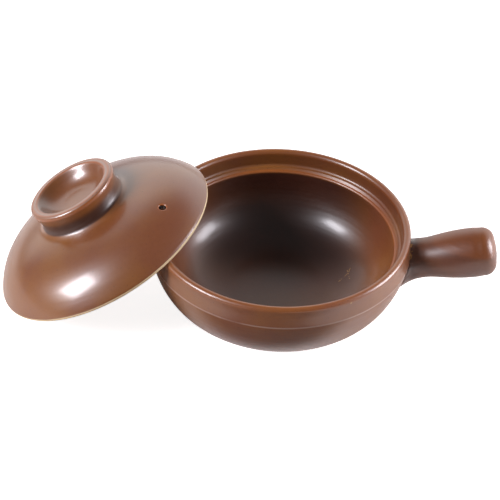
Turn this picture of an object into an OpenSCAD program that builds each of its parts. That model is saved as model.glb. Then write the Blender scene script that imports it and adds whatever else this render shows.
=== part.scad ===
// Small glazed clay casserole pot with one stub handle, and its domed lid leaning on the rim.
// The origin is on the pot's axis at the base. +Z is up, and the handle points along +X.

/* [Pot] */
// Outer diameter of the pot at its rim
rim_d = 170; // [150:1:220]
// Height of the rim's top above the table
pot_h = 63.3; // [58:0.1:90]
// Thickness of the round lip of the rim
lip_t = 5.1; // [4:0.1:7]
// How far the ridge of the wall stands outside the rim
ridge_out = 1.5; // [0.5:0.1:4]
// Depth of the ridge below the top of the rim
ridge_drop = 13.7; // [11:0.1:18]
// Diameter of the flat base
base_d = 85; // [75:1:110]
// Thickness of the floor
floor_t = 7.5; // [6:0.1:10]
// Diameter of the flat part of the floor inside
floor_d = 60; // [40:1:70]

/* [Seat for the lid] */
// Depth of the seat below the top of the rim
seat_drop = 12; // [10:0.1:15]
// Width of the seat, from the collar to the mouth of the bowl
seat_w = 5; // [4.5:0.1:7]
// How much lower the seat is at the mouth of the bowl
seat_fall = 1.3; // [0.8:0.1:2]
// Radius between the collar and the seat
seat_fillet = 2.2; // [1:0.1:2.5]
// Radius of the seat's inner edge
seat_edge_r = 1.6; // [0.8:0.1:1.9]

/* [Handle] */
// Length of the handle, from the rim's radius to its end
handle_l = 57.6; // [50:0.1:80]
// Depth of the handle's axis below the top of the rim, where it meets the wall
handle_drop = 20.2; // [18:0.1:24]
// Angle at which the handle rises
handle_rise = 14.5; // [5:0.5:20]
// Diameter of the handle at its neck
neck_d = 26.2; // [22:0.1:28]
// Diameter of the handle at its swelling
swell_d = 32.3; // [28:0.1:36]
// Distance of the neck from the rim's radius
neck_at = 11.5; // [10:0.5:16]
// Distance of the widest place from the rim's radius
swell_at = 42.5; // [38:0.5:44]
// Radius of the edge at the handle's end
handle_edge_r = 7.9; // [4:0.1:9]
// How far the root spreads over the wall
root_flare = 6; // [4:0.1:9]

/* [Lid] */
// Room between the lid's edge and the collar when the lid is on
lid_play = 1.7; // [1:0.1:2.5]
// Thickness of the lid at its round edge
lid_t = 3.8; // [3.2:0.1:4.6]
// Height of the dome where the knob starts
dome_h = 28.4; // [24:0.1:34]
// How much lower the hollow under the dome is than the dome
dome_t = 2.3; // [2:0.1:4]
// Angle at which the dome rises from its edge
dome_rise = 59.3; // [55:0.1:65]
// Diameter of the steam hole
vent_d = 4.6; // [3:0.1:6]
// Distance of the steam hole from the lid's axis
vent_at = 61; // [54:0.5:66]
// Direction of the steam hole round the lid, from the side that lies over the pot
vent_turn = -16.6; // [-180:0.1:180]

/* [Knob] */
// Outer diameter of the knob
knob_d = 61; // [50:0.1:66]
// Height of the knob above the dome
knob_h = 17.7; // [14:0.1:22]
// Diameter of the knob's waist
waist_d = 57.4; // [48:0.1:60]
// Radius of the knob's outer edge
knob_edge_r = 2.2; // [1.5:0.1:3]
// Diameter of the hollow in the knob
dish_d = 50; // [42:0.1:52]
// Depth of the hollow in the knob
dish_h = 9.5; // [7:0.1:11]
// How far the knob's foot spreads over the dome
foot_w = 4.2; // [2.5:0.1:6]

/* [Lid leaning on the pot] */
// How far up the lid from its centre the rim carries it
lean_up = 48.6; // [46:0.1:56]
// Gap left between the lid's edge and the pot's lip
lean_gap = 0.1; // [0.05:0.01:0.3]

/* [Hidden] */
$fn = 96;

// Steps of a long curve, a short curve and a round edge
LONG = 14;
SHORT = 6;
EDGE = 5;

// The glazes
POT_GLAZE = "#7a4a36";
LID_GLAZE = "#855034";

// A point of the curve from a to d that sets out towards b and comes in from c
function bend_at(a, b, c, d, t) =
    pow(1 - t, 3) * a + 3 * pow(1 - t, 2) * t * b + 3 * (1 - t) * t * t * c + pow(t, 3) * d;

// Points along such a curve
function bend(a, b, c, d, steps) = [for (i = [0:steps]) bend_at(a, b, c, d, i / steps)];

// Unit vector at an angle
function dir(angle) = [cos(angle), sin(angle)];

// Points along an arc round a centre
function arc(centre, r, from, to, steps) =
    [for (i = [0:steps]) centre + r * dir(from + (to - from) * i / steps)];

// The bowl's section, as radius and height
lip_r = lip_t / 2;
rim_r = rim_d / 2;
lip_at = [rim_r - lip_r, pot_h - lip_r];
base_r = base_d / 2;
ridge = [rim_r + ridge_out, pot_h - ridge_drop];
// The wall leaves the ridge steeply and comes in to the base flatly
wall_lean = 9.3;
wall_pull = 0.69;
base_slope = 21.4;
base_pull = 0.6;
collar_r = rim_r - lip_t;
mouth_r = collar_r - seat_w;
seat_z = pot_h - seat_drop;
floor_r = floor_d / 2;
// The bowl's inner wall goes down steeply and turns into the floor
inner_top = [mouth_r, seat_z - seat_fall - seat_edge_r];
inner_pull = 0.65;
floor_pull = 0.67;

wall_outside = bend(
    [base_r, 0],
    [base_r, 0] + base_pull * (ridge[0] - base_r) * dir(base_slope),
    ridge - wall_pull * ridge[1] * dir(90 - wall_lean),
    ridge,
    LONG
);
band_rise = lip_at[1] - ridge[1];
band_outside = bend(
    ridge,
    ridge + [-ridge_out / 3, band_rise / 3],
    [rim_r, lip_at[1] - band_rise / 3],
    [rim_r, lip_at[1]],
    SHORT
);
solid_outline = concat(
    [[0, 0]],
    wall_outside,
    band_outside,
    arc(lip_at, lip_r, 0, 90, EDGE),
    [[0, pot_h]]
);
hollow_outline = concat(
    [[0, floor_t]],
    bend(
        [floor_r, floor_t],
        [floor_r + floor_pull * (mouth_r - floor_r), floor_t],
        inner_top - [0, inner_pull * (inner_top[1] - floor_t)],
        inner_top,
        LONG
    ),
    arc([mouth_r + seat_edge_r, inner_top[1]], seat_edge_r, 180, 90, EDGE),
    arc([collar_r - seat_fillet, seat_z + seat_fillet], seat_fillet, -90, 0, EDGE),
    arc(lip_at, lip_r, 180, 90, EDGE),
    [[lip_at[0], pot_h + lip_t], [0, pot_h + lip_t]]
);

// The handle is a row of rings along its axis, each as distance, radius, slope and spread.
// The ring at the wall stands as the wall does, and the rings turn to the handle's slope.
neck_r = neck_d / 2;
swell_r = swell_d / 2;
handle_z = pot_h - handle_drop;
// Slope of the wall where the handle sits on it
root_slope = -13;
// How far the root reaches into the wall
root_in = 4.5;
// How quickly the spread dies away along the handle, and round it from its underside to its top
flare_power = 3;
under_power = 1.75;
// How far the end stands out in its middle, and up to which angle its edge is round
end_bulge = 0.8;
end_turn = 80;
// How much narrower the handle is where that edge starts
end_taper = 0.4;
edge_s = handle_l - end_bulge - handle_edge_r;
edge_r = swell_r - end_taper;
flat_r = edge_r - handle_edge_r;
// The handle's outline keeps its direction for these shares of the way from neck to swelling
neck_keep = 0.17;
swell_keep = 0.5;
swell_way = swell_at - neck_at;
SIDES = 40;
ROOT_RINGS = 10;
root_rings = [
    for (i = [0:ROOT_RINGS - 1])
        let (s = -root_in + (neck_at + root_in) * i / ROOT_RINGS, t = max(0, s / neck_at))
            [s, neck_r, root_slope + (handle_rise - root_slope) * t,
                root_flare * pow(1 - t, flare_power)]
];
neck_curve = bend(
    [neck_r, neck_at],
    [neck_r, neck_at + neck_keep * swell_way],
    [swell_r, swell_at - swell_keep * swell_way],
    [swell_r, swell_at],
    LONG
);
swell_curve = bend(
    [swell_r, swell_at],
    [swell_r, (swell_at + edge_s) / 2],
    [edge_r, (swell_at + edge_s) / 2],
    [edge_r, edge_s],
    SHORT
);
end_edge = arc([flat_r, edge_s], handle_edge_r, 0, end_turn, EDGE);
end_face = [[flat_r / 2, handle_l - end_bulge / 4]];
body_points = concat(
    neck_curve,
    [for (i = [1:SHORT]) swell_curve[i]],
    [for (i = [1:EDGE]) end_edge[i]],
    end_face
);
body_rings = [for (p = body_points) [p[1], p[0], handle_rise, 0]];
handle_rings = concat(root_rings, body_rings);

// A point on the handle's axis
function axis_point(s) = [rim_r + s * cos(handle_rise), 0, handle_z + s * sin(handle_rise)];

// A point of one ring, at an angle counted from the side towards the top
function ring_point(ring, angle) =
    let (
        up = sin(angle),
        r = ring[1] + ring[3] * pow((1 - up) / 2, under_power),
        tall = r * up / cos(handle_rise - ring[2])
    )
    axis_point(ring[0]) + [-tall * sin(ring[2]), r * cos(angle), tall * cos(ring[2])];

handle_points = concat(
    [for (ring = handle_rings) for (k = [0:SIDES - 1]) ring_point(ring, 360 * k / SIDES)],
    [axis_point(handle_l)]
);
LAST_RING = len(handle_rings) - 1;
handle_faces = concat(
    [[for (k = [0:SIDES - 1]) k]],
    [for (j = [0:LAST_RING - 1]) for (k = [0:SIDES - 1])
        let (a = j * SIDES + k, b = j * SIDES + (k + 1) % SIDES)
            [a, a + SIDES, b + SIDES, b]],
    [for (k = [0:SIDES - 1])
        [LAST_RING * SIDES + (k + 1) % SIDES, LAST_RING * SIDES + k, len(handle_points) - 1]]
);

// The lid's section, as radius and height over the plane of its edge
lid_r = collar_r - lid_play;
bead_r = lid_t / 2;
bead_at = [lid_r - bead_r, bead_r];
knob_r = knob_d / 2;
knob_top = dome_h + knob_h;
knob_edge_at = [knob_r - knob_edge_r, knob_top - knob_edge_r];
// Height of the waist, as a share of the knob's height
waist_up = 0.29;
waist_at = [waist_d / 2, dome_h + waist_up * knob_h];
foot_at = [waist_at[0] + foot_w, dome_h];
dish_r = dish_d / 2;
dish_floor = knob_top - dish_h;
inside_top = dome_h - dome_t;
// Slopes of the dome and of the knob's foot where they meet
dome_slope = 11.3;
foot_slope = 25;
// How far each curve of the lid keeps the direction of its ends, as a share of its width
edge_keep = 0.484;
crown_keep = 0.395;
inside_keep = 0.26;
middle_keep = 0.5;
foot_keep = 0.7;
// The same for the knob's outside below and above its waist and at its edge, as a share of its
// height
foot_rise = 0.17;
waist_keep = 0.35;
top_keep = 0.12;
dome_w = lid_r - foot_at[0];
dome_way = [-cos(dome_rise), sin(dome_rise)];
edge_out = bead_r * dir(90 - dome_rise);
dome_outside = bend(
    bead_at + edge_out,
    bead_at + edge_out + edge_keep * dome_w * dome_way,
    foot_at + crown_keep * dome_w * [cos(dome_slope), -sin(dome_slope)],
    foot_at,
    LONG
);
// The steam hole goes square through the dome: the dome's height there, its fall across the hole
// and its slope, and how far the bore reaches both ways
vent_r = vent_d / 2;
vent_z = lookup(vent_at, dome_outside);
vent_fall = lookup(vent_at - vent_r, dome_outside) - lookup(vent_at + vent_r, dome_outside);
vent_slope = atan2(vent_fall, vent_d);
vent_reach = 3 * dome_t;
dome_inside = bend(
    [0, inside_top],
    [middle_keep * lid_r, inside_top],
    bead_at - edge_out + inside_keep * lid_r * dome_way,
    bead_at - edge_out,
    LONG
);
// The dish is steep below its lip and flat in its middle
dish_lip = 1;
dish_round = 2;
dish_steep = 4;
dish_flat_r = 9;
dish_inside = bend(
    [dish_r + dish_lip, knob_top],
    [dish_r - dish_round, knob_top],
    [dish_r - dish_steep, dish_floor],
    [dish_flat_r, dish_floor],
    LONG
);
knob_foot = bend(
    foot_at,
    foot_at + foot_keep * foot_w * [-cos(foot_slope), sin(foot_slope)],
    waist_at - [0, foot_rise * knob_h],
    waist_at,
    SHORT
);
knob_side = bend(
    waist_at,
    waist_at + [0, waist_keep * knob_h],
    knob_edge_at + [knob_edge_r, -top_keep * knob_h],
    knob_edge_at + [knob_edge_r, 0],
    SHORT
);
lid_outline = concat(
    dome_inside,
    arc(bead_at, bead_r, 270 - dome_rise, 450 - dome_rise, 2 * EDGE),
    dome_outside,
    knob_foot,
    knob_side,
    arc(knob_edge_at, knob_edge_r, 0, 90, EDGE),
    dish_inside,
    [[0, dish_floor]]
);

// The lid leans with its edge over the lip and its lowest point on the table.
// Its slope makes the middles of the two round edges meet at the wanted place up the lid.
lean = asin((lip_at[1] - bead_r) / (bead_at[0] + lean_up));
bead_low = bead_at[0] * sin(lean) - bead_r * cos(lean);
lid_z = bead_low + bead_r;

// The middle of the lid's round edge, a turn round from the side over the pot
function edge_point(out, turn) =
    [-out + bead_at[0] * cos(turn) * cos(lean) - bead_r * sin(lean),
     bead_at[0] * sin(turn),
     lid_z + bead_at[0] * cos(turn) * sin(lean) + bead_r * cos(lean)];

// Gap between the lid's edge and the lip when the lid's centre is that far out
function edge_gap(out) =
    min([for (turn = [0:0.5:90])
        let (p = edge_point(out, turn))
            norm([norm([p[0], p[1]]) - lip_at[0], p[2] - lip_at[1]])]) - bead_r - lip_r;

// How far out the lid's centre lies when that gap is the wanted one
function seat_out(near, far, steps) =
    let (middle = (near + far) / 2)
        steps == 0 ? middle
        : edge_gap(middle) > lean_gap ? seat_out(near, middle, steps - 1)
        : seat_out(middle, far, steps - 1);

// How far out the lid's centre would lie if those middles met
meet_side = sqrt(pow(bead_at[0], 2) - pow(lean_up, 2));
meet_out = sqrt(pow(lip_at[0], 2) - pow(meet_side, 2)) + lean_up * cos(lean);
// Widest shift that is tried from there, and how often it is halved
SHIFT = 20;
HALVINGS = 20;
lid_out = seat_out(meet_out, meet_out + SHIFT, HALVINGS);

// Bowl, rim, seat and handle, fired as one piece
module pot() {
    color(POT_GLAZE)
        difference() {
            union() {
                rotate_extrude() polygon(solid_outline);
                polyhedron(points = handle_points, faces = handle_faces);
            }
            rotate_extrude() polygon(hollow_outline);
        }
}

// The lid as it sits over its own centre, its edge on the plane
module upright_lid() {
    difference() {
        rotate_extrude() polygon(lid_outline);
        rotate([0, 0, vent_turn]) translate([vent_at, 0, vent_z]) rotate([0, vent_slope, 0])
            cylinder(d = vent_d, h = 2 * vent_reach, center = true);
    }
}

// Dome, knob and steam hole, fired as one piece
module lid() {
    color(LID_GLAZE)
        translate([-lid_out, 0, lid_z]) rotate([0, -lean, 0]) upright_lid();
}

pot();
lid();
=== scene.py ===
"""A small glazed clay casserole pot with its lid leaning on the rim.

All lengths are in metres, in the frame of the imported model: the origin is on the pot's axis at
the base, +Z is up, the handle points along +X and the lid leans on the -X side.
"""

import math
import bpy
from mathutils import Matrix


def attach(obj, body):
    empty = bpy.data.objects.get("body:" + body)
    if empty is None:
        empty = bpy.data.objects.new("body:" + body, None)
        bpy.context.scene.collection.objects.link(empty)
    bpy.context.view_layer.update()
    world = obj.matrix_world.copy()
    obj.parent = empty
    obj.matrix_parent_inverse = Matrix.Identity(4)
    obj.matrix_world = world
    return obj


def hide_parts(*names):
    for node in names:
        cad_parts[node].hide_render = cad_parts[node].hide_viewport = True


bl_info = {
    "name": "Clay casserole pot",
    "version": (1, 0, 0),
    "blender": (4, 5, 0),
    "location": "3D View > Sidebar > Casserole",
    "description": "Builds a glazed clay casserole pot, its leaning lid and a plain studio",
    "category": "Add Mesh",
}

import bmesh
import bpy
from bpy.props import FloatProperty, FloatVectorProperty, PointerProperty
from mathutils import Matrix, Vector

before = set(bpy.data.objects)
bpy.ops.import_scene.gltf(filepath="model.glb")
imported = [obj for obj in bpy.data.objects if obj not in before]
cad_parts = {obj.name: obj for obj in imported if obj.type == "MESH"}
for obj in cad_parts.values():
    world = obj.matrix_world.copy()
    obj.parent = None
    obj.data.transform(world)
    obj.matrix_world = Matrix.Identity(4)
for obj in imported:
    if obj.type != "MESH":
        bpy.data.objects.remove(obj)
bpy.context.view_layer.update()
MM = 0.001

# Steps round a full turn and round the steam hole, along a long curve, along a short curve and
# round an edge
TURN_STEPS = 240
VENT_STEPS = 64
LONG = 28
SHORT = 10
EDGE = 8


def srgb(red, green, blue):
    """A colour given as 0 to 255 on screen, as the linear values that a shader takes."""
    return tuple(
        c / 12.92 if c <= 0.04045 else ((c + 0.055) / 1.055) ** 2.4
        for c in (v / 255 for v in (red, green, blue))
    )


def length(name, description, millimetres):
    """A property for a size."""
    return FloatProperty(
        name=name, description=description, default=millimetres * MM, unit="LENGTH", precision=4
    )


def angle(name, description, degrees):
    """A property for an angle."""
    return FloatProperty(
        name=name, description=description, default=math.radians(degrees), subtype="ANGLE",
        unit="ROTATION",
    )


def colour(name, description, red, green, blue):
    """A property for a colour, given as 0 to 255 on screen."""
    return FloatVectorProperty(
        name=name, description=description, default=srgb(red, green, blue), size=3,
        subtype="COLOR", min=0, max=1,
    )


class PotSizes(bpy.types.PropertyGroup):
    """Sizes of the bowl, its rim, the seat for the lid and the handle."""

    rim_d: length("Rim", "Outer diameter at the rim", 170)
    height: length("Height", "Height of the rim above the table", 63.3)
    lip_t: length("Lip", "Thickness of the round lip", 5.1)
    ridge_out: length("Ridge out", "How far the ridge stands outside the rim", 1.5)
    ridge_drop: length("Ridge drop", "Depth of the ridge below the rim", 13.7)
    base_d: length("Base", "Diameter of the flat base", 85)
    floor_t: length("Floor", "Thickness of the floor", 7.5)
    floor_d: length("Floor width", "Diameter of the flat part of the floor", 60)
    seat_drop: length("Seat drop", "Depth of the seat below the rim", 12)
    seat_w: length("Seat", "Width of the seat", 5)
    seat_fall: length("Seat fall", "How much lower the seat is at the mouth of the bowl", 1.3)
    seat_fillet: length("Seat fillet", "Radius between the collar and the seat", 2.2)
    seat_edge_r: length("Seat edge", "Radius of the seat's inner edge", 1.6)
    handle_l: length("Handle", "Length of the handle from the rim's radius", 57.6)
    handle_drop: length("Handle drop", "Depth of the handle's axis below the rim", 20.2)
    handle_rise: angle("Handle rise", "Angle at which the handle rises", 14.5)
    neck_d: length("Neck", "Diameter of the handle at its neck", 26.2)
    swell_d: length("Swelling", "Diameter of the handle at its swelling", 32.3)
    neck_at: length("Neck at", "Distance of the neck from the rim's radius", 11.5)
    swell_at: length("Swelling at", "Distance of the swelling from the rim's radius", 42.5)
    handle_edge_r: length("Handle edge", "Radius of the edge at the handle's end", 7.9)
    root_flare: length("Root flare", "How far the root spreads over the wall", 6)


class LidSizes(bpy.types.PropertyGroup):
    """Sizes of the lid and its knob, and how the lid leans on the pot."""

    play: length("Play", "Room between the lid's edge and the collar when it is on", 1.7)
    edge_t: length("Edge", "Thickness of the lid at its round edge", 3.8)
    dome_h: length("Dome", "Height of the dome where the knob starts", 28.4)
    dome_t: length("Dome wall", "How much lower the hollow is than the dome", 2.3)
    dome_rise: angle("Dome rise", "Angle at which the dome rises from its edge", 59.3)
    vent_d: length("Steam hole", "Diameter of the steam hole", 4.6)
    vent_at: length("Steam hole at", "Distance of the steam hole from the lid's axis", 61)
    vent_turn: angle("Steam hole turn", "Direction of the steam hole round the lid", -16.6)
    knob_d: length("Knob", "Outer diameter of the knob", 61)
    knob_h: length("Knob height", "Height of the knob above the dome", 17.7)
    waist_d: length("Waist", "Diameter of the knob's waist", 57.4)
    knob_edge_r: length("Knob edge", "Radius of the knob's outer edge", 2.2)
    dish_d: length("Dish", "Diameter of the hollow in the knob", 50)
    dish_h: length("Dish depth", "Depth of the hollow in the knob", 9.5)
    foot_w: length("Knob foot", "How far the knob's foot spreads over the dome", 4.2)
    lean_up: length("Lean", "How far up the lid from its centre the rim carries it", 48.6)
    lean_gap: length("Gap", "Gap between the lid's edge and the pot's lip", 0.1)


class GlazeColours(bpy.types.PropertyGroup):
    """Colours of the glazes and of the bare clay, and of the painted shade and painted sheen."""

    wall: colour("Wall glaze", "Glaze of the pot", 122, 66, 35)
    lid: colour("Lid glaze", "Glaze of the lid", 138, 83, 29)
    # This dark colour paints shade in the bowl, on the collar, at the handle's root, on the band over
    # the ridge and round the knob's waist; on the handle it is pooled glaze
    thick_glaze_and_shade: colour("Thick glaze", "Glaze where it lies thick", 54, 21, 9)
    thin: colour("Thin glaze", "Glaze where it lies thin on an edge", 164, 86, 24)
    clay: colour("Clay", "Bare fired clay", 226, 200, 158)
    # This pale colour paints a highlight along the ridge and a sheen on the top of the knob's ring
    painted_sheen: colour("Worn glaze", "Glaze that is rubbed pale on the ridge", 196, 168, 158)
    scratch: colour("Scratch", "Clay that shows in scratches and chips", 176, 128, 66)


class StudioSettings(bpy.types.PropertyGroup):
    """Where the camera stands, as the photograph shows the pot."""

    distance: length("Distance", "Distance from the camera to the middle of the rim", 900)
    elevation: angle("Elevation", "Angle at which the camera looks down", 39.67)
    turn: angle("Turn", "How far the camera stands round the pot from its side", 5.1)
    roll: angle("Roll", "How far the camera is tilted sideways", 2.11)
    lens: length("Lens", "Focal length of the camera", 99.22)


# The photograph's side, and the place of the middle of the rim in it, in pixels
PHOTO_SIDE = 500
RIM_PIXEL = Vector((281.01, 222.96))
SENSOR = 36.0


def bend(a, b, c, d, steps):
    """Points of the curve from a to d that sets out towards b and comes in from c."""
    points = []
    for i in range(steps + 1):
        t = i / steps
        u = 1 - t
        points.append(u**3 * a + 3 * u * u * t * b + 3 * u * t * t * c + t**3 * d)
    return points


def heading(turn):
    """Unit vector at an angle."""
    return Vector((math.cos(turn), math.sin(turn)))


def arc(centre, radius, start, end, steps):
    """Points along an arc, from one angle in degrees to another."""
    return [
        centre + radius * heading(math.radians(start + (end - start) * i / steps))
        for i in range(steps + 1)
    ]


def at(radius, height):
    """A point of a section: radius and height."""
    return Vector((radius, height))


# Points nearer to each other than this are merged
WELD = 0.01 * MM


def turned(outline, steps=TURN_STEPS):
    """A bmesh spun round Z from a section that starts and ends on the axis."""
    bm = bmesh.new()
    verts = [bm.verts.new((p.x, 0, p.y)) for p in outline]
    edges = [bm.edges.new(pair) for pair in zip(verts, verts[1:])]
    bmesh.ops.spin(
        bm, geom=verts + edges, cent=(0, 0, 0), axis=(0, 0, 1),
        angle=math.tau, steps=steps, use_merge=True,
    )
    bmesh.ops.remove_doubles(bm, verts=bm.verts, dist=WELD)
    bmesh.ops.recalc_face_normals(bm, faces=bm.faces)
    return bm


def piece(bm, name, material=None):
    """A mesh object at the origin made from a bmesh."""
    mesh = bpy.data.meshes.new(name)
    bm.to_mesh(mesh)
    bm.free()
    made = bpy.data.objects.new(name, mesh)
    bpy.context.scene.collection.objects.link(made)
    if material:
        mesh.materials.append(material)
    return made


def combine(target, tool, operation):
    """Joins a closed mesh to another or cuts it out, and removes the tool."""
    cut = target.modifiers.new("combine", "BOOLEAN")
    cut.operation = operation
    cut.solver = "EXACT"
    cut.object = tool
    shown = target.evaluated_get(bpy.context.evaluated_depsgraph_get())
    mesh = bpy.data.meshes.new_from_object(shown)
    target.modifiers.clear()
    target.data = mesh
    bpy.data.objects.remove(tool)


# Faces that meet at a larger angle than this keep a sharp edge
CREASE = math.radians(32)


def finish(obj, material):
    """Gives a piece smooth shading, sharp where two faces meet at a crease, and its material."""
    bm = bmesh.new()
    bm.from_mesh(obj.data)
    for face in bm.faces:
        face.smooth = True
    for edge in bm.edges:
        edge.smooth = len(edge.link_faces) != 2 or edge.calc_face_angle() < CREASE
    bm.to_mesh(obj.data)
    bm.free()
    obj.data.materials.clear()
    obj.data.materials.append(material)


# How the curves of the pot leave their ends, as in the part's source
WALL_LEAN, WALL_PULL = math.radians(9.3), 0.69
BASE_SLOPE, BASE_PULL = math.radians(21.4), 0.6
INNER_PULL, FLOOR_PULL = 0.65, 0.67
BASE_EDGE = 1.2 * MM


def pot_section(s):
    """The bowl's whole section, from the middle of the base out and in to the floor."""
    lip_r, rim_r, base_r = s.lip_t / 2, s.rim_d / 2, s.base_d / 2
    lip = at(rim_r - lip_r, s.height - lip_r)
    base = at(base_r, 0)
    ridge = at(rim_r + s.ridge_out, s.height - s.ridge_drop)
    collar_r = rim_r - s.lip_t
    mouth_r = collar_r - s.seat_w
    seat_z = s.height - s.seat_drop
    inner_top = at(mouth_r, seat_z - s.seat_fall - s.seat_edge_r)
    fall = at(0, inner_top.y - s.floor_t)
    floor_r = s.floor_d / 2
    wall = bend(
        base,
        base + BASE_PULL * (ridge.x - base_r) * heading(BASE_SLOPE),
        ridge - WALL_PULL * ridge.y * heading(math.pi / 2 - WALL_LEAN),
        ridge,
        LONG,
    )
    band_rise = lip.y - ridge.y
    band = bend(
        ridge,
        ridge + at(-s.ridge_out, band_rise) / 3,
        at(rim_r, lip.y - band_rise / 3),
        at(rim_r, lip.y),
        SHORT,
    )
    inner = bend(
        inner_top,
        inner_top - INNER_PULL * fall,
        at(floor_r + FLOOR_PULL * (mouth_r - floor_r), s.floor_t),
        at(floor_r, s.floor_t),
        LONG,
    )
    return (
        [at(0, 0), at(base_r - BASE_EDGE, 0)]
        + wall[1:]
        + band[1:]
        + arc(lip, lip_r, 0, 180, 2 * EDGE)[1:]
        + arc(at(collar_r - s.seat_fillet, seat_z + s.seat_fillet), s.seat_fillet, 0, -90, EDGE)
        + arc(at(mouth_r + s.seat_edge_r, inner_top.y), s.seat_edge_r, 90, 180, EDGE)
        + inner[1:]
        + [at(floor_r / 2, s.floor_t), at(0, s.floor_t)]
    )


# The handle's root stands as the wall does, reaches into it and spreads most at its underside
ROOT_SLOPE, ROOT_IN = math.radians(-13), 4.5 * MM
FLARE_POWER, UNDER_POWER = 3, 1.75
END_BULGE, END_TAPER = 0.8 * MM, 0.4 * MM
NECK_KEEP, SWELL_KEEP = 0.17, 0.5
HANDLE_SIDES = 128
# The edge's arc stops where the bulge of the handle's end begins, in degrees
END_ARC = 80


def handle_rings(s):
    """The handle's rings from its root to its end, as distance, radius, slope and spread."""
    neck_r, swell_r = s.neck_d / 2, s.swell_d / 2
    edge_at = s.handle_l - END_BULGE - s.handle_edge_r
    edge_r = swell_r - END_TAPER
    flat_r = edge_r - s.handle_edge_r
    way = s.swell_at - s.neck_at
    half = (s.swell_at + edge_at) / 2
    rings = []
    for i in range(LONG):
        along = -ROOT_IN + (s.neck_at + ROOT_IN) * i / LONG
        t = max(0, along / s.neck_at)
        slope = ROOT_SLOPE + (s.handle_rise - ROOT_SLOPE) * t
        rings.append((along, neck_r, slope, s.root_flare * (1 - t) ** FLARE_POWER))
    body = bend(
        at(neck_r, s.neck_at),
        at(neck_r, s.neck_at + NECK_KEEP * way),
        at(swell_r, s.swell_at - SWELL_KEEP * way),
        at(swell_r, s.swell_at),
        LONG,
    )
    body += bend(
        at(swell_r, s.swell_at),
        at(swell_r, half),
        at(edge_r, half),
        at(edge_r, edge_at),
        SHORT,
    )[1:]
    body += arc(at(flat_r, edge_at), s.handle_edge_r, 0, END_ARC, 2 * EDGE)[1:]
    body.append(at(flat_r / 2, s.handle_l - END_BULGE / 4))
    return rings + [(p.y, p.x, s.handle_rise, 0) for p in body]


def handle_mesh(s):
    """The handle as a closed tube, one ring extruded from the last."""
    start = Vector((s.rim_d / 2, 0, s.height - s.handle_drop))
    axis = Vector((math.cos(s.handle_rise), 0, math.sin(s.handle_rise)))
    bm = bmesh.new()
    made = bmesh.ops.create_circle(bm, segments=HANDLE_SIDES, radius=1)
    verts = made["verts"]
    circle = {v: v.co.copy() for v in verts}
    edges = list(bm.edges)
    bmesh.ops.contextual_create(bm, geom=edges)
    first = True
    for along, radius, slope, spread in handle_rings(s):
        if not first:
            grown = bmesh.ops.extrude_edge_only(bm, edges=edges)["geom"]
            verts = [g for g in grown if isinstance(g, bmesh.types.BMVert)]
            old = circle
            circle = {}
            for v in verts:
                before = next(e.other_vert(v) for e in v.link_edges if e.other_vert(v) in old)
                circle[v] = old[before]
            edges = [
                g for g in grown
                if isinstance(g, bmesh.types.BMEdge) and all(v in circle for v in g.verts)
            ]
        first = False
        centre = start + along * axis
        upward = Vector((-math.sin(slope), 0, math.cos(slope))) / math.cos(s.handle_rise - slope)
        for v in verts:
            side, up = circle[v].x, circle[v].y
            reach = radius + spread * ((1 - up) / 2) ** UNDER_POWER
            v.co = centre + reach * (side * Vector((0, 1, 0)) + up * upward)
    cap = bmesh.ops.contextual_create(bm, geom=edges)["faces"]
    middle = bmesh.ops.poke(bm, faces=cap)["verts"][0]
    middle.co = start + s.handle_l * axis
    bmesh.ops.recalc_face_normals(bm, faces=bm.faces)
    return bm


# How the curves of the lid leave their ends, as in the part's source
WAIST_UP = 0.29
DOME_SLOPE, FOOT_SLOPE = math.radians(11.3), math.radians(25)
EDGE_KEEP, CROWN_KEEP, INSIDE_KEEP, MIDDLE_KEEP = 0.484, 0.395, 0.26, 0.5
FOOT_KEEP, FOOT_RISE, WAIST_KEEP, TOP_KEEP = 0.7, 0.17, 0.35, 0.12
DISH_LIP, DISH_ROUND, DISH_STEEP, DISH_FLAT_R = 1 * MM, 2 * MM, 4 * MM, 9 * MM


# The search for the lid's place: points on a quarter of its edge, the longest way, the halvings
LEAN_POINTS = 361
LEAN_WAY = 20 * MM
LEAN_HALVINGS = 24


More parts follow.
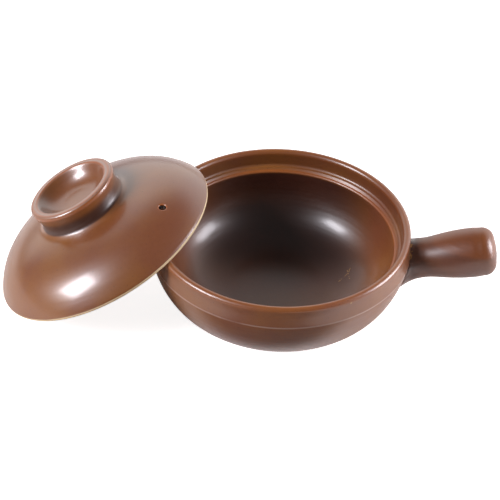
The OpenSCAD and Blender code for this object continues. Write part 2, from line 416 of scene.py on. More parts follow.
class LidShape:
    """The lid's section over the plane of its edge, and its pose on the pot."""

    def __init__(self, lid, pot):
        self.edge_r = lid.edge_t / 2
        self.radius = pot.rim_d / 2 - pot.lip_t - lid.play
        self.bead = at(self.radius - self.edge_r, self.edge_r)
        self.knob_top = lid.dome_h + lid.knob_h
        self.foot = at(lid.waist_d / 2 + lid.foot_w, lid.dome_h)
        self.way = at(-math.cos(lid.dome_rise), math.sin(lid.dome_rise))
        self.out = self.edge_r * heading(math.pi / 2 - lid.dome_rise)
        self.dome = self.dome_curve()
        rise = math.degrees(lid.dome_rise)
        self.section = (
            self.inside_curve(lid)
            + arc(self.bead, self.edge_r, 270 - rise, 450 - rise, 3 * EDGE)[1:-1]
            + self.dome
            + self.knob_outline(lid)
            + self.dish_outline(lid)
        )
        self.lean(lid, pot)
        self.vent_pose = self.square_to_dome(lid)

    def dome_curve(self):
        """The dome's outside, from the lid's round edge to the knob's foot."""
        width = self.radius - self.foot.x
        return bend(
            self.bead + self.out,
            self.bead + self.out + EDGE_KEEP * width * self.way,
            self.foot + CROWN_KEEP * width * at(math.cos(DOME_SLOPE), -math.sin(DOME_SLOPE)),
            self.foot,
            LONG,
        )

    def inside_curve(self, lid):
        """The hollow under the dome, from the axis to the lid's round edge."""
        inside_top = lid.dome_h - lid.dome_t
        return bend(
            at(0, inside_top),
            at(MIDDLE_KEEP * self.radius, inside_top),
            self.bead - self.out + INSIDE_KEEP * self.radius * self.way,
            self.bead - self.out,
            LONG,
        )

    def knob_outline(self, lid):
        """The knob's outside, from its foot over its waist to its flat ring."""
        edge = at(lid.knob_d / 2 - lid.knob_edge_r, self.knob_top - lid.knob_edge_r)
        waist = at(lid.waist_d / 2, lid.dome_h + WAIST_UP * lid.knob_h)
        foot = bend(
            self.foot,
            self.foot + FOOT_KEEP * lid.foot_w * at(-math.cos(FOOT_SLOPE), math.sin(FOOT_SLOPE)),
            waist - at(0, FOOT_RISE * lid.knob_h),
            waist,
            SHORT,
        )
        side = bend(
            waist,
            waist + at(0, WAIST_KEEP * lid.knob_h),
            edge + at(lid.knob_edge_r, -TOP_KEEP * lid.knob_h),
            edge + at(lid.knob_edge_r, 0),
            SHORT,
        )
        return foot[1:] + side[1:] + arc(edge, lid.knob_edge_r, 0, 90, EDGE)[1:]

    def dish_outline(self, lid):
        """The hollow in the knob, from its flat ring to the axis."""
        dish_r = lid.dish_d / 2
        dish_floor = self.knob_top - lid.dish_h
        dish = bend(
            at(dish_r + DISH_LIP, self.knob_top),
            at(dish_r - DISH_ROUND, self.knob_top),
            at(dish_r - DISH_STEEP, dish_floor),
            at(DISH_FLAT_R, dish_floor),
            LONG,
        )
        return dish + [at(0, dish_floor)]

    def square_to_dome(self, lid):
        """The pose of the steam hole, square through the dome."""
        radius = lid.vent_d / 2
        fall = self.dome_at(lid.vent_at - radius) - self.dome_at(lid.vent_at + radius)
        return (
            Matrix.Rotation(lid.vent_turn, 4, "Z")
            @ Matrix.Translation((lid.vent_at, 0, self.dome_at(lid.vent_at)))
            @ Matrix.Rotation(math.atan2(fall, lid.vent_d), 4, "Y")
        )

    def lean(self, lid, pot):
        """Finds the slope, the height and the place of the lid that rests on lip and table."""
        lip_r = pot.lip_t / 2
        lip = at(pot.rim_d / 2 - lip_r, pot.height - lip_r)
        bead, edge_r = self.bead, self.edge_r
        self.slope = math.asin((lip.y - edge_r) / (bead.x + lid.lean_up))
        sine, cosine = math.sin(self.slope), math.cos(self.slope)
        self.height = bead.x * sine - edge_r * cosine + edge_r

        def gap(out):
            """Gap between the lid's edge and the lip with the lid's centre that far out."""
            nearest = 1.0
            for i in range(LEAN_POINTS):
                turn = math.pi / 2 * i / (LEAN_POINTS - 1)
                x = -out + bead.x * math.cos(turn) * cosine - edge_r * sine
                y = bead.x * math.sin(turn)
                z = self.height + bead.x * math.cos(turn) * sine + edge_r * cosine
                nearest = min(nearest, math.hypot(math.hypot(x, y) - lip.x, z - lip.y))
            return nearest - edge_r - lip_r

        side = math.sqrt(bead.x**2 - lid.lean_up**2)
        near = math.sqrt(lip.x**2 - side**2) + lid.lean_up * cosine
        far = near + LEAN_WAY
        for _ in range(LEAN_HALVINGS):
            middle = (near + far) / 2
            if gap(middle) > lid.lean_gap:
                far = middle
            else:
                near = middle
        self.place = Vector((-(near + far) / 2, 0, self.height))
        self.pose = Matrix.Translation(self.place) @ Matrix.Rotation(-self.slope, 4, "Y")

    def dome_at(self, radius):
        """Height of the dome's outside at a radius."""
        for a, b in zip(self.dome, self.dome[1:]):
            if b.x <= radius <= a.x:
                return a.y + (b.y - a.y) * (a.x - radius) / (a.x - b.x)
        raise ValueError("the steam hole lies outside the dome")


# Radius of the steam hole's soft outer edge, and how far the tool that cuts it reaches
VENT_EDGE = 0.9 * MM
VENT_REACH = 8 * MM


def vent_tool(lid, shape):
    """The solid that cuts the steam hole: a bore that opens in a soft trumpet at the dome."""
    radius = lid.vent_d / 2
    mouth = radius + VENT_EDGE
    section = (
        [at(0, -VENT_REACH), at(radius, -VENT_REACH)]
        + arc(at(mouth, -VENT_EDGE), VENT_EDGE, 180, 90, EDGE)
        + [at(mouth + VENT_EDGE, 0), at(mouth + VENT_EDGE, VENT_REACH), at(0, VENT_REACH)]
    )
    bm = turned(section, VENT_STEPS)
    bmesh.ops.transform(bm, matrix=shape.vent_pose, verts=bm.verts)
    return piece(bm, "vent_tool")


class Wire:
    """A shader socket that takes part in Python sums."""

    def __init__(self, shader, socket):
        self.shader = shader
        self.socket = socket

    def _math(self, operation, *values):
        """A Math node over wires and numbers."""
        return self.shader.node("ShaderNodeMath", {"operation": operation}, dict(enumerate(values)))

    def __add__(self, other):
        return self._math("ADD", self, other)

    __radd__ = __add__

    def __sub__(self, other):
        return self._math("SUBTRACT", self, other)

    def __rsub__(self, other):
        return self._math("SUBTRACT", other, self)

    def __mul__(self, other):
        return self._math("MULTIPLY", self, other)

    __rmul__ = __mul__

    def __truediv__(self, other):
        return self._math("DIVIDE", self, other)

    def __pow__(self, other):
        return self._math("POWER", self, other)

    def __abs__(self):
        return self._math("ABSOLUTE", self)

    def largest(self, *others):
        """The largest of this and other values."""
        top = self
        for other in others:
            top = self._math("MAXIMUM", top, other)
        return top

    def output(self, name):
        """Another output of the same node."""
        return Wire(self.shader, self.socket.node.outputs[name])

    def smooth(self, low, high):
        """0 below low, 1 above high and soft in between; turned round where low is the larger."""
        values = {"Value": self, "From Min": low, "From Max": high}
        return self.shader.node("ShaderNodeMapRange", {"interpolation_type": "SMOOTHSTEP"}, values)

    def about(self, middle, outer, inner):
        """1 within inner of a value, falling softly to 0 at outer."""
        return abs(self - middle).smooth(outer, inner)


# Share of a stroke's width that shows in full
STROKE_CORE = 0.3


class Shader:
    """The nodes of a material or of the world."""

    def __init__(self, owner):
        owner.use_nodes = True
        self.owner = owner
        self.tree = owner.node_tree
        self.tree.nodes.clear()

    def node(self, kind, settings=None, values=None, output=0):
        """Adds a node: first its settings, then the values or links of its sockets."""
        made = self.tree.nodes.new(kind)
        for name, value in (settings or {}).items():
            setattr(made, name, value)
        for name, value in (values or {}).items():
            if isinstance(value, Wire):
                self.tree.links.new(value.socket, made.inputs[name])
            elif hasattr(value, "__len__") and len(made.inputs[name].default_value) == 4:
                made.inputs[name].default_value = (*value, 1)
            else:
                made.inputs[name].default_value = value
        return Wire(self, made.outputs[output]) if made.outputs else None

    def mix(self, share, a, b):
        """Colour a turning to colour b."""
        return self.node("ShaderNodeMix", {"data_type": "RGBA"}, {0: share, 6: a, 7: b}, 2)

    def place(self, pose=None):
        """Object coordinates, or those in the frame of a turned piece."""
        coordinates = self.node("ShaderNodeTexCoord", output=3)
        if pose is None:
            return coordinates
        values = {"Vector": coordinates, "Location": pose.to_translation(), "Rotation": pose.to_euler()}
        return self.node("ShaderNodeMapping", {"vector_type": "TEXTURE"}, values)

    def noise(self, vector, scale=1.0, detail=2.0, rough=0.5, stretch=None, output=0):
        """Soft noise from 0 to 1, drawn out along the axes by stretch."""
        if stretch:
            vector = self.node("ShaderNodeMapping", None, {"Vector": vector, "Scale": stretch})
        values = {"Vector": vector, "Scale": scale, "Detail": detail, "Roughness": rough}
        return self.node("ShaderNodeTexNoise", None, values, output)

    def vector(self, operation, a, b, output="Vector"):
        """Vector maths on two vectors, or on a vector and a scale."""
        name = "Scale" if operation == "SCALE" else 1
        return self.node("ShaderNodeVectorMath", {"operation": operation}, {0: a, name: b}, output)

    def near(self, vector, point, radius, soft):
        """1 within a radius of a point, falling softly to 0."""
        return self.vector("DISTANCE", vector, point, "Value").smooth(radius + soft, radius)

    def stroke(self, vector, start, end, width):
        """1 along a straight line between two points, falling softly to 0 beside it."""
        way = (end - start).normalized()
        gone = self.vector("SUBTRACT", vector, start)
        limits = {"Value": self.vector("DOT_PRODUCT", gone, way, "Value"), "Min": 0.0}
        held = self.node("ShaderNodeClamp", None, {**limits, "Max": (end - start).length})
        foot = self.vector("SCALE", way, held)
        return self.near(gone, foot, STROKE_CORE * width, (1 - STROKE_CORE) * width)


def radius_and_place(shader, vector):
    """Distance of a point from the Z axis, and its coordinates."""
    x = shader.node("ShaderNodeSeparateXYZ", None, {"Vector": vector})
    y, z = x.output("Y"), x.output("Z")
    return (x * x + y * y) ** 0.5, x, y, z


# Scales of the noises: broad and small clouds in the glaze, fine ripples, specks of iron, grains
# of bare clay, and along each axis the wheel's rings on the pot and the lid
BROAD, CLOUDS, FINE, SPECKLE, GRAINS = 22, 420, 700, 900, 2600
POT_RINGS, LID_RINGS = (25, 25, 420), (20, 20, 300)
# Levels of a noise at which a broad cloud, a speck and the painted highlight on the ridge start and are
# full
BROAD_LEVELS, SPECK_LEVELS, HIGHLIGHT_LEVELS = (0.3, 0.75), (0.70, 0.76), (0.25, 0.5)
# How much the small clouds change the light, the ripples the colour, and the specks darken it
CLOUD_LIGHT, RIPPLE_COLOUR, SPECK_DARK = 0.14, 0.08, 0.4
# Roughness of the glaze's body, what clouds and bare clay add to it, and that of its clear coat
BODY_ROUGH, CLOUD_ROUGH, CLAY_ROUGH, COAT_ROUGH = 0.4, 0.06, 0.4, 0.19
# The coat bends light as glass does, and the body shines a little less than twice the default
GLASS_IOR, BODY_SHINE = 1.5, 0.9
# Height of relief 1, and the relief of fine ripples, grains, the wheel's rings and the roll in
# which the lid's glaze ends
RIPPLE = 0.03 * MM
FINE_H, GRAIN_H, RING_H, ROLL_H = 0.3, 3, 4, 5
# Colours of the specks and of the painted shade deep in the steam hole
SPECK, VENT_SHADE = srgb(52, 27, 17), srgb(24, 13, 9)


def glaze(shader, place, tint, bare, relief, gloss):
    """The finish of all glazed pieces: a clear coat over a duller body, none on bare clay."""
    fine = shader.noise(place, FINE, detail=3, rough=0.6)
    height = relief + fine * FINE_H + bare * shader.noise(place, GRAINS) * GRAIN_H
    bump = shader.node(
        "ShaderNodeBump", None, {"Strength": 1.0, "Distance": RIPPLE, "Height": height}
    )
    # A fired glaze is never even: small soft clouds and sparse dark specks of iron
    cloud = shader.noise(place, CLOUDS, detail=3, rough=0.6) - 0.5
    light, colour_depth = 1 + CLOUD_LIGHT * cloud, 1 + RIPPLE_COLOUR * (fine - 0.5)
    tint = shader.node(
        "ShaderNodeHueSaturation", None, {"Color": tint, "Value": light, "Saturation": colour_depth}
    )
    specks = shader.noise(place, SPECKLE, detail=1).smooth(*SPECK_LEVELS) * (1 - bare)
    tint = shader.mix(specks * SPECK_DARK, tint, SPECK)
    surface = shader.node(
        "ShaderNodeBsdfPrincipled", None,
        {
            "Base Color": tint,
            "Roughness": BODY_ROUGH + CLOUD_ROUGH * cloud + CLAY_ROUGH * bare,
            "IOR": GLASS_IOR,
            "Specular IOR Level": BODY_SHINE,
            "Coat Weight": gloss * (1 - bare),
            "Coat Roughness": COAT_ROUGH,
            "Coat IOR": GLASS_IOR,
            "Normal": bump,
        },
    )
    shader.node("ShaderNodeOutputMaterial", None, {"Surface": surface})
    return shader.owner


# The middle of the bowl's wall is about a rounded curve of this radius, height and power, and
# inside turns to outside within this much of it
MIDDLE_R, MIDDLE_Z, MIDDLE_POWER, MIDDLE_SOFT = 80.3 * MM, 48 * MM, 2.5, 0.03
# How far below the seat the painted shade in the bowl is full, its share there, what it loses at
# the sides and in front, and what broad clouds change in it
BOWL_FADE = 2.5 * MM
BOWL_SHADE, SIDE_LESS, FRONT_LESS, BOWL_CLOUDS = 0.95, 0.75, 0.4, 0.2
# Where the right, the left, all but the back, and the front start and are full, in radii of the
# mouth, and the heights at which the sides do
RIGHT, LEFT, NOT_BACK, FRONT = (0.3, 0.9), (-0.4, -0.95), (1.1, 0.4), (0.5, -0.1)
SIDE_RISE = 8 * MM, 22 * MM


def mouth_radius(pot):
    """Radius of the bowl's mouth, inside the seat."""
    return pot.rim_d / 2 - pot.lip_t - pot.seat_w


def mouth_height(pot):
    """Height of the seat where it meets the bowl's mouth."""
    return pot.height - pot.seat_drop - pot.seat_fall


def in_bowl(pot, radius, height):
    """1 inside the bowl below the seat, parted from the outside by the middle of the wall."""
    down = (MIDDLE_Z - height).largest(0.0) / MIDDLE_Z
    out = (radius / MIDDLE_R) ** MIDDLE_POWER + down**MIDDLE_POWER
    seat_z = mouth_height(pot)
    return out.smooth(1 + MIDDLE_SOFT, 1 - MIDDLE_SOFT) * height.smooth(seat_z, seat_z - BOWL_FADE)


def bowl_painted_shade(pot, x, y, height, broad):
    """Share of painted shade in the bowl: less on the walls at both sides and in front."""
    across, along = x / mouth_radius(pot), y / mouth_radius(pot)
    side = (across.smooth(*RIGHT) + across.smooth(*LEFT)) * along.smooth(*NOT_BACK)
    side = side * height.smooth(*SIDE_RISE)
    front = along.smooth(*FRONT)
    return BOWL_SHADE - SIDE_LESS * side - FRONT_LESS * front + BOWL_CLOUDS * (broad - 0.5)


# How far the seat's mask reaches past its edges and above it, and where it starts and is full
# below it
SEAT_OUT = 1 * MM
SEAT_UP, SEAT_DOWN = 3 * MM, (-4 * MM, -3 * MM)
# Half the width of the line on its inner edge, from none to full, and the same below the edge
SEAT_LINE, SEAT_LINE_DOWN = (1.6 * MM, 0.4 * MM), (-1.5 * MM, -0.5 * MM)


def on_seat(pot, radius, height):
    """1 on the whole seat, from its inner edge to the collar."""
    mouth_r = mouth_radius(pot)
    collar_r = mouth_r + pot.seat_w
    up = height - (pot.height - pot.seat_drop)
    flat = radius.smooth(mouth_r - SEAT_OUT, mouth_r) * radius.smooth(collar_r + SEAT_OUT, collar_r)
    return flat * up.smooth(*SEAT_DOWN) * up.smooth(SEAT_UP, 0)


def on_seat_edge(pot, radius, height):
    """1 on the seat's inner edge."""
    line = radius.about(mouth_radius(pot) + pot.seat_edge_r / 2, *SEAT_LINE)
    return line * (height - mouth_height(pot)).smooth(*SEAT_LINE_DOWN)


# How far the painted shade round the handle's root is full, in diameters of its neck, and its soft end
ROOT_R, ROOT_SOFT = 0.42, 10 * MM
# Where masks start and are full beyond the rim's radius: the handle, its root and the band
GRIP_OUT, ROOT_OUT, BAND_OUT = (2 * MM, 4 * MM), (-2.5 * MM, 0), (-2 * MM, -1 * MM)
# The same in lip thicknesses: down from the rim for the lip, and in from it for the collar
LIP_DEPTH, COLLAR_DEPTH = (0.8, 0.25), (0.6, 0.9)
# How far over the seat the collar's mask is full, and over the ridge the band's
COLLAR_UP, BAND_UP = 2 * MM, 1 * MM
# Half the width of the painted highlight on the ridge, and the share of the ridge where it is full
RIDGE_LINE, RIDGE_OUT = (0.9 * MM, 0.1 * MM), 0.8


def at_root(shader, pot, place, beyond):
    """1 round the handle's root, outside the wall."""
    root = Vector((pot.rim_d / 2, 0, pot.height - pot.handle_drop))
    return shader.near(place, root, ROOT_R * pot.neck_d, ROOT_SOFT) * beyond.smooth(*ROOT_OUT)


def on_collar(pot, beyond, height):
    """1 on the upright collar between the lip and the seat, and on all inside it."""
    up = height - (pot.height - pot.seat_drop)
    return (beyond / -pot.lip_t).smooth(*COLLAR_DEPTH) * up.smooth(0, COLLAR_UP)


# Hairline scratches on the bowl's floor, each from one point to another, and a nick under the lip
SCRATCHES = (
    (Vector((41, 11, 8.5)) * MM, Vector((47, 19, 10.5)) * MM),
    (Vector((47, 19, 10.5)) * MM, Vector((48, 23, 11.4)) * MM),
    (Vector((46, 21, 10.5)) * MM, Vector((48, 13, 10.3)) * MM),
)
NICK, NICK_R = Vector((50, -69, 60.5)) * MM, 0.5 * MM
# Width of a scratch, how far its line strays and at which scale, and where it breaks off
SCRATCH_W = 0.5 * MM
STRAY, STRAY_SCALE = 1.2 * MM, 400
BREAKS, BREAK_LEVELS = 650, (0.40, 0.50)
# Crumbs of clay at the handle's joint: their noise, how far they lie to both sides of their
# middle, and how far beyond the rim's radius
CRUMBS, CRUMB_LEVELS = 500, (0.53, 0.60)
CRUMB_Y, CRUMB_SPREAD = -5 * MM, (9 * MM, 6 * MM)
JOINT_OUT, JOINT_WIDTH = 1 * MM, (1.6 * MM, 0.8 * MM)
# The joint's side of the pot, and the depths below the rim at which the crumbs start and end
JOINT_SIDE, JOINT_TOP, JOINT_END = (0, 70 * MM), (2 * MM, 5 * MM), (15 * MM, 10 * MM)


def pot_marks(shader, pot, place, beyond, x, y, height):
    """1 on scratches through the glaze, on the nick and on crumbs where the handle joins."""
    stray = shader.vector("SCALE", shader.noise(place, STRAY_SCALE, output="Color"), STRAY)
    torn = shader.vector("SUBTRACT", shader.vector("ADD", place, stray), (STRAY / 2,) * 3)
    marks = shader.near(torn, NICK, NICK_R, NICK_R)
    broken = shader.noise(place, BREAKS, detail=1).smooth(*BREAK_LEVELS)
    for first, last in SCRATCHES:
        marks = marks.largest(shader.stroke(torn, first, last, SCRATCH_W) * broken)
    down = pot.height - height
    joint = beyond.about(JOINT_OUT, *JOINT_WIDTH) * x.smooth(*JOINT_SIDE)
    joint = joint * down.smooth(*JOINT_TOP) * down.smooth(*JOINT_END)
    crumbs = shader.noise(place, CRUMBS).smooth(*CRUMB_LEVELS) * y.about(CRUMB_Y, *CRUMB_SPREAD)
    return marks.largest(crumbs * joint)


# Shares of the darker colour: painted shade on the collar, pooled glaze on the handle, painted shade at
# its root and on the band over the ridge
COLLAR_SHADE, GRIP_THICK, ROOT_SHADE, BAND_SHADE = 0.4, 0.5, 0.85, 0.08
# Shares of thin glaze on the lip and the seat's edge with what broad clouds change in them, of
# the painted highlight on the ridge and of clay in scratches
LIP_THIN, SEAT_THIN, THIN_CLOUDS, RIDGE_HIGHLIGHT, MARK_CLAY = 0.25, 0.55, 0.6, 0.45, 0.7
# How dull the glaze is in the bowl and on the handle, the lip and the seat
BOWL_DULL, GRIP_DULL, LIP_DULL, SEAT_DULL = 0.4, 0.8, 0.4, 0.85
# Where the bare clay over the base starts and is full, and the height and scale of its wave
BASE_LINE, BASE_WAVE, BASE_WAVES = (0.8 * MM, 0.5 * MM), 1.2 * MM, 60


def outside_glaze_and_shade(pot, beyond, over_ridge, height, grip, root):
    """Share of the darker colour: painted shade on the collar, at the handle's root and on the band
    over the ridge, and pooled glaze on the handle.
    """
    collar = on_collar(pot, beyond, height)
    band = beyond.smooth(*BAND_OUT) * over_ridge.smooth(0, BAND_UP)
    handle = (grip * GRIP_THICK).largest(root * ROOT_SHADE)
    return handle.largest(collar * COLLAR_SHADE, band * BAND_SHADE)


def ridge_highlight(pot, beyond, over_ridge, joined, broad):
    """Share of the painted highlight along the ridge, none where the handle is joined."""
    ridge = over_ridge.about(0, *RIDGE_LINE) * beyond.smooth(0, RIDGE_OUT * pot.ridge_out)
    return ridge * (1 - joined) * broad.smooth(*HIGHLIGHT_LEVELS) * RIDGE_HIGHLIGHT


def pot_material(pot, colours):
    """Brown glaze, thin on the lip and the edges, over a bare clay base, with painted shade in the
    bowl, on the collar, at the handle's root and on the band over the ridge, and a painted highlight
    along the ridge.
    """
    shader = Shader(bpy.data.materials.new("pot_glaze"))
    place = shader.place()
    radius, x, y, height = radius_and_place(shader, place)
    beyond = radius - pot.rim_d / 2
    over_ridge = height - (pot.height - pot.ridge_drop)
    broad = shader.noise(place, BROAD, detail=3)
    tint = shader.mix(broad.smooth(*BROAD_LEVELS), colours.wall, colours.lid)
    inside = in_bowl(pot, radius, height)
    # Painted shade: the bowl's inside is darkened, most at the back and least on the side walls and in
    # front
    tint = shader.mix(inside * bowl_painted_shade(pot, x, y, height, broad), tint, colours.thick_glaze_and_shade)
    # Pooled glaze darkens the handle; painted shade darkens the collar, the handle's root and the band
    # over the ridge
    grip = beyond.smooth(*GRIP_OUT)
    root = at_root(shader, pot, place, beyond)
    thick_glaze_and_shade = outside_glaze_and_shade(pot, beyond, over_ridge, height, grip, root)
    tint = shader.mix(thick_glaze_and_shade, tint, colours.thick_glaze_and_shade)
    # It runs off the lip and off the seat's inner edge, and is thin there
    lip = ((pot.height - height) / pot.lip_t).smooth(*LIP_DEPTH)
    thin = (lip * LIP_THIN).largest(on_seat_edge(pot, radius, height) * SEAT_THIN)
    tint = shader.mix(thin * (1 + THIN_CLOUDS * (broad - 0.5)), tint, colours.thin)
    # A painted highlight: a pale line along the ridge
    painted_sheen = ridge_highlight(pot, beyond, over_ridge, grip.largest(root), broad)
    tint = shader.mix(painted_sheen, tint, colours.painted_sheen)
    marks = pot_marks(shader, pot, place, beyond, x, y, height)
    tint = shader.mix(marks * MARK_CLAY, tint, colours.scratch)
    bare = (height - BASE_WAVE * shader.noise(place, BASE_WAVES)).smooth(*BASE_LINE)
    tint = shader.mix(bare, tint, colours.clay)
    seat = on_seat(pot, radius, height)
    dull = (inside * BOWL_DULL).largest(grip * GRIP_DULL, lip * LIP_DULL, seat * SEAT_DULL)
    relief = RING_H * shader.noise(place, stretch=POT_RINGS)
    return glaze(shader, place, tint, bare, relief, 1 - dull)


# Where the painted shade round the knob's foot and waist starts and is full: out and in from the
# knob's radius, and below and above its waist
WAIST_OUT, WAIST_IN = (2 * MM, -1 * MM), (-6 * MM, -4 * MM)
WAIST_LOW, WAIST_HIGH = (-4 * MM, -3 * MM), (7.5 * MM, 2 * MM)
# Its share at the back, what it gains to the front, where that starts and is full in knob
# diameters, and how dull it is
WAIST_SHADE, WAIST_MORE, WAIST_SIDE, WAIST_DULL = 0.3, 0.6, (0.35, -0.3), 0.9
# The lines of thin glaze on the knob: half their widths on its side and on its lips, how far
# from its radius the first starts, and how far outside the dish the inner lip lies
SIDE_LINE, LIP_LINE = (1.6 * MM, 0.5 * MM), (1.2 * MM, 0.3 * MM)
SIDE_IN, DISH_OUT = (-1 * MM, -0.3 * MM), 0.3 * MM
# Depth of the top of the knob's ring, and the shares of painted sheen and of thin glaze there
TOP_DEPTH, TOP_SHEEN, EDGE_THIN = (1.2 * MM, 0.3 * MM), 0.3, 0.7


def knob_waist(lid, radius, height):
    """1 round the knob's foot and waist, where shade is painted and the glaze is dulled."""
    out = radius - lid.knob_d / 2
    up = height - (lid.dome_h + WAIST_UP * lid.knob_h)
    ring = out.smooth(*WAIST_OUT) * out.smooth(*WAIST_IN)
    return ring * up.smooth(*WAIST_LOW) * up.smooth(*WAIST_HIGH)


def knob_edges(lid, shape, radius, height, top):
    """1 on the knob's outer edge and on the two lips of its flat ring, where the glaze is thin."""
    out = radius - lid.knob_d / 2
    side = height.about(shape.knob_top - lid.knob_edge_r, *SIDE_LINE) * out.smooth(*SIDE_IN)
    outer = out.about(-lid.knob_edge_r, *LIP_LINE)
    inner = radius.about(lid.dish_d / 2 + DISH_OUT, *LIP_LINE)
    return side.largest(outer.largest(inner) * top)


# The steam hole: radius of its ring of thin glaze in hole diameters, its softness and its share,
# then the radius, softness and depth of its painted shade
VENT_RING, VENT_SOFT, VENT_THIN = 0.6, 0.8 * MM, 0.8
DARK_RING, DARK_SOFT, DARK_DEPTH = 0.52, 0.5 * MM, 2 * MM


def vent_tint(shader, lid, shape, place, tint, colours):
    """The tint with thin glaze round the steam hole and painted shade in its depth."""
    mouth = shape.vent_pose.to_translation()
    depth = shape.vent_pose @ Vector((0, 0, -DARK_DEPTH))
    ring = shader.near(place, mouth, VENT_RING * lid.vent_d, VENT_SOFT)
    dark = shader.near(place, depth, DARK_RING * lid.vent_d, DARK_SOFT)
    return shader.mix(dark, shader.mix(ring * VENT_THIN, tint, colours.thin), VENT_SHADE)


# The lid's bare edge: height of its line in edge radii, the wave's height and scale, its soft
# end, and where it starts and is full from the middle of the round edge
BARE_UP, BARE_WAVE, BARE_WAVES = 1.2, 0.35 * MM, 70
BARE_LINE, BARE_IN = (0, -0.25 * MM), (-2.5 * MM, -2 * MM)
# Where the glaze's roll over that line starts and is full
ROLL_RISE = 0.1 * MM, 1.1 * MM


def lid_material(lid, shape, colours):
    """Brown glaze, thin on the knob's edges, with a bare clay line round the lid's edge, painted shade
    round the knob's waist and in the steam hole, and a painted sheen on the knob's ring.
    """
    shader = Shader(bpy.data.materials.new("lid_glaze"))
    place = shader.place(shape.pose)
    radius, _, y, height = radius_and_place(shader, place)
    broad = shader.noise(place, BROAD, detail=3)
    tint = shader.mix(broad.smooth(*BROAD_LEVELS), colours.lid, colours.wall)
    # Painted shade round the knob's foot and waist, under its overhang, deeper towards the front
    waist = knob_waist(lid, radius, height)
    waist_shade = WAIST_SHADE + WAIST_MORE * (y / lid.knob_d).smooth(*WAIST_SIDE)
    tint = shader.mix(waist * waist_shade, tint, colours.thick_glaze_and_shade)
    # A painted sheen: the top of the knob's ring is paled
    top = (shape.knob_top - height).smooth(*TOP_DEPTH)
    tint = shader.mix(top * TOP_SHEEN, tint, colours.painted_sheen)
    edges = knob_edges(lid, shape, radius, height, top)
    tint = shader.mix(edges * EDGE_THIN, tint, colours.thin)
    tint = vent_tint(shader, lid, shape, place, tint, colours)
    # The lid's edge is wiped bare before firing, and the glaze ends there in a soft roll
    over = height - (shape.edge_r * BARE_UP + BARE_WAVE * shader.noise(place, BARE_WAVES))
    bare = over.smooth(*BARE_LINE) * (radius - shape.bead.x).smooth(*BARE_IN)
    tint = shader.mix(bare, tint, colours.clay)
    relief = RING_H * shader.noise(place, stretch=LID_RINGS) + ROLL_H * over.smooth(*ROLL_RISE)
    return glaze(shader, place, tint, bare, relief, 1 - WAIST_DULL * waist)


class CASSEROLE_OT_pot(bpy.types.Operator):
    """Builds the pot: bowl, rim, seat and handle in one fired piece"""

    bl_idname = "casserole.pot"
    bl_label = "Pot"

    def execute(self, context):
        scene = context.scene
        sizes = scene.casserole_pot
        bowl = piece(turned(pot_section(sizes)), "clay_pot")
        handle = piece(handle_mesh(sizes), "handle")
        combine(bowl, handle, "UNION")
        finish(bowl, pot_material(sizes, scene.casserole_colours))
        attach(bowl, "root")
        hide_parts("pot")
        return {"FINISHED"}


class CASSEROLE_OT_lid(bpy.types.Operator):
    """Builds the lid: dome, knob and steam hole in one fired piece, leaning on the pot"""

    bl_idname = "casserole.lid"
    bl_label = "Lid"

    def execute(self, context):
        scene = context.scene
        sizes = scene.casserole_lid
        shape = LidShape(sizes, scene.casserole_pot)
        lid = piece(turned(shape.section), "clay_lid")
        combine(lid, vent_tool(sizes, shape), "DIFFERENCE")
        lid.data.transform(shape.pose)
        finish(lid, lid_material(sizes, shape, scene.casserole_colours))
        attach(lid, "root")
        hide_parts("lid")
        return {"FINISHED"}


# The softboxes: turn and rise in degrees, distance, width and height in metres, and level
SOFTBOXES = {
    "left_softbox": (-153, 31, 2.5, 0.95, 1.05, 20),
    "right_softbox": (9, 19, 1.0, 0.44, 0.56, 13.5),
}
# The height that they face, and their colour
AIM_Z = 50 * MM
LAMP_COLOUR = 1.0, 0.98, 1.05


def softbox(name, turn, rise, distance, width, height, level):
    """A flat lamp that stands round the pot at an angle and faces it, as bright as level."""
    turn, rise = math.radians(turn), math.radians(rise)
    data = bpy.data.lights.new(name, "AREA")
    data.shape = "RECTANGLE"
    data.size, data.size_y = width, height
    data.energy = level * math.pi * width * height
    data.color = LAMP_COLOUR
    way = Vector((math.cos(rise) * math.cos(turn), math.cos(rise) * math.sin(turn), math.sin(rise)))
    lamp = bpy.data.objects.new(name, data)
    lamp.location = Vector((0, 0, AIM_Z)) + distance * way
    lamp.rotation_euler = way.to_track_quat("Z", "Y").to_euler()
    lamp.visible_camera = False
    bpy.context.scene.collection.objects.link(lamp)


# Side of the floor, how far it lies below the pot's base, and its colour
FLOOR_SIZE = 8
FLOOR_DROP = 0.1 * MM
FLOOR_COLOUR = 0.92, 0.86, 0.82
# Level of the floor's shaded parts, and how much the floor glows for the camera
FLOOR_DIM, FLOOR_GLOW = 0.2, 0.85
# Where the shade in front of the pot is full and ends backwards, and where it starts and is full
# from both sides, then where the floor's dim far left ends
SHADE_FRONT, SHADE_SIDE, PAPER_LEFT = (-0.1, -0.06), (0.12, 0.05), (-0.5, -0.3)
# The white paper behind the pot: where it darkens upwards, how far round it goes to both sides,
# its soft end and its level, and the level of the dim room
PAPER_RISE = math.radians(30), math.radians(56)
PAPER_TURN, PAPER_SOFT = math.radians(56), 0.12
PAPER_LEVEL, ROOM = 1.42, 0.12


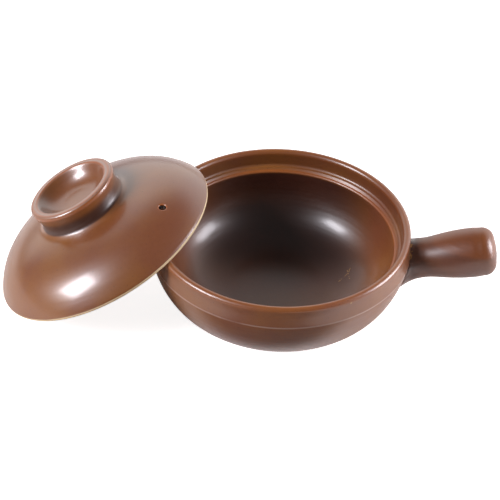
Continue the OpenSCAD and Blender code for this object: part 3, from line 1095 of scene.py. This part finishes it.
class CASSEROLE_OT_studio(bpy.types.Operator):
    """Builds the plain white studio: floor, backdrop, lamps and camera"""

    bl_idname = "casserole.studio"
    bl_label = "Studio"

    def execute(self, context):
        scene = context.scene
        self.floor()
        self.backdrop(scene)
        for name, values in SOFTBOXES.items():
            softbox(name, *values)
        self.camera(scene)
        scene.view_settings.view_transform = "Standard"
        return {"FINISHED"}

    def floor(self):
        """A white floor: all white to the camera, and dim in front and far left for the pot."""
        bm = bmesh.new()
        bmesh.ops.create_grid(bm, x_segments=1, y_segments=1, size=FLOOR_SIZE / 2)
        bmesh.ops.translate(bm, verts=bm.verts, vec=(0, 0, -FLOOR_DROP))
        shader = Shader(bpy.data.materials.new("white_floor"))
        seen = shader.node("ShaderNodeLightPath", output="Is Camera Ray")
        _, x, y, _ = radius_and_place(shader, shader.place())
        shade = (1 - y.smooth(*SHADE_FRONT)) * abs(x).smooth(*SHADE_SIDE)
        paper = (1 - shade) * x.smooth(*PAPER_LEFT)
        share = paper.largest(seen, FLOOR_DIM)
        tone = shader.mix(share, (0, 0, 0), FLOOR_COLOUR)
        diffuse = shader.node("ShaderNodeBsdfDiffuse", None, {"Color": tone})
        glow = shader.node("ShaderNodeEmission", None, {"Strength": seen * FLOOR_GLOW})
        both = shader.node("ShaderNodeAddShader", None, {0: diffuse, 1: glow})
        shader.node("ShaderNodeOutputMaterial", None, {"Surface": both})
        piece(bm, "floor", shader.owner)

    def backdrop(self, scene):
        """White wherever the camera looks, and for the pot white paper behind it in a dim room."""
        world = bpy.data.worlds.new("white_studio")
        scene.world = world
        shader = Shader(world)
        seen = shader.node("ShaderNodeLightPath", output="Is Camera Ray")
        way = shader.node("ShaderNodeTexCoord", output="Generated")
        ring, _, y, z = radius_and_place(shader, way)
        low = z.smooth(math.sin(PAPER_RISE[1]), math.sin(PAPER_RISE[0]))
        behind = (y / ring).smooth(math.cos(PAPER_TURN + PAPER_SOFT), math.cos(PAPER_TURN - PAPER_SOFT))
        paper = ROOM + (PAPER_LEVEL - ROOM) * low * behind
        sky = shader.node("ShaderNodeBackground", None, {"Strength": seen.largest(paper)})
        shader.node("ShaderNodeOutputWorld", None, {"Surface": sky})

    def camera(self, scene):
        """The camera, where the photograph was taken from."""
        view = scene.casserole_studio
        turn, look = view.turn, view.elevation
        right = Vector((math.cos(turn), math.sin(turn), 0))
        level = Vector((-math.sin(turn), math.cos(turn), 0))
        ahead = math.cos(look) * level - Vector((0, 0, math.sin(look)))
        up = math.sin(look) * level + Vector((0, 0, math.cos(look)))
        across = math.cos(view.roll) * right + math.sin(view.roll) * up
        upward = math.cos(view.roll) * up - math.sin(view.roll) * right
        # How far the middle of the rim lies from the middle of the picture
        pixel = SENSOR * MM / view.lens * view.distance / PHOTO_SIDE
        off = (RIM_PIXEL - Vector((PHOTO_SIDE / 2, PHOTO_SIDE / 2))) * pixel
        rim = Vector((0, 0, scene.casserole_pot.height))
        data = bpy.data.cameras.new("camera")
        data.lens = view.lens / MM
        data.sensor_width = SENSOR
        camera = bpy.data.objects.new("camera", data)
        turn_to = Matrix((across, upward, -ahead)).transposed().to_4x4()
        stand = rim - view.distance * ahead - off.x * across + off.y * upward
        camera.matrix_world = Matrix.Translation(stand) @ turn_to
        scene.collection.objects.link(camera)
        scene.camera = camera


class CASSEROLE_PT_build(bpy.types.Panel):
    """Lists the sizes, the colours and the steps that build the pot"""

    bl_idname = "CASSEROLE_PT_build"
    bl_label = "Clay casserole pot"
    bl_space_type = "VIEW_3D"
    bl_region_type = "UI"
    bl_category = "Casserole"

    def draw(self, context):
        for group, operator in STEPS:
            box = self.layout.box()
            settings = getattr(context.scene, group)
            for name in settings.__annotations__:
                box.prop(settings, name)
            if operator:
                box.operator(operator.bl_idname)


GROUPS = {
    "casserole_pot": PotSizes,
    "casserole_lid": LidSizes,
    "casserole_colours": GlazeColours,
    "casserole_studio": StudioSettings,
}
STEPS = (
    ("casserole_colours", None),
    ("casserole_pot", CASSEROLE_OT_pot),
    ("casserole_lid", CASSEROLE_OT_lid),
    ("casserole_studio", CASSEROLE_OT_studio),
)
CLASSES = (
    *GROUPS.values(),
    CASSEROLE_OT_pot,
    CASSEROLE_OT_lid,
    CASSEROLE_OT_studio,
    CASSEROLE_PT_build,
)


def register():
    for cls in CLASSES:
        bpy.utils.register_class(cls)
    for name, group in GROUPS.items():
        setattr(bpy.types.Scene, name, PointerProperty(type=group))


def unregister():
    for name in GROUPS:
        delattr(bpy.types.Scene, name)
    for cls in reversed(CLASSES):
        bpy.utils.unregister_class(cls)


def main():
    register()
    bpy.ops.casserole.pot()
    bpy.ops.casserole.lid()
    bpy.ops.casserole.studio()


if __name__ == "__main__":
    main()
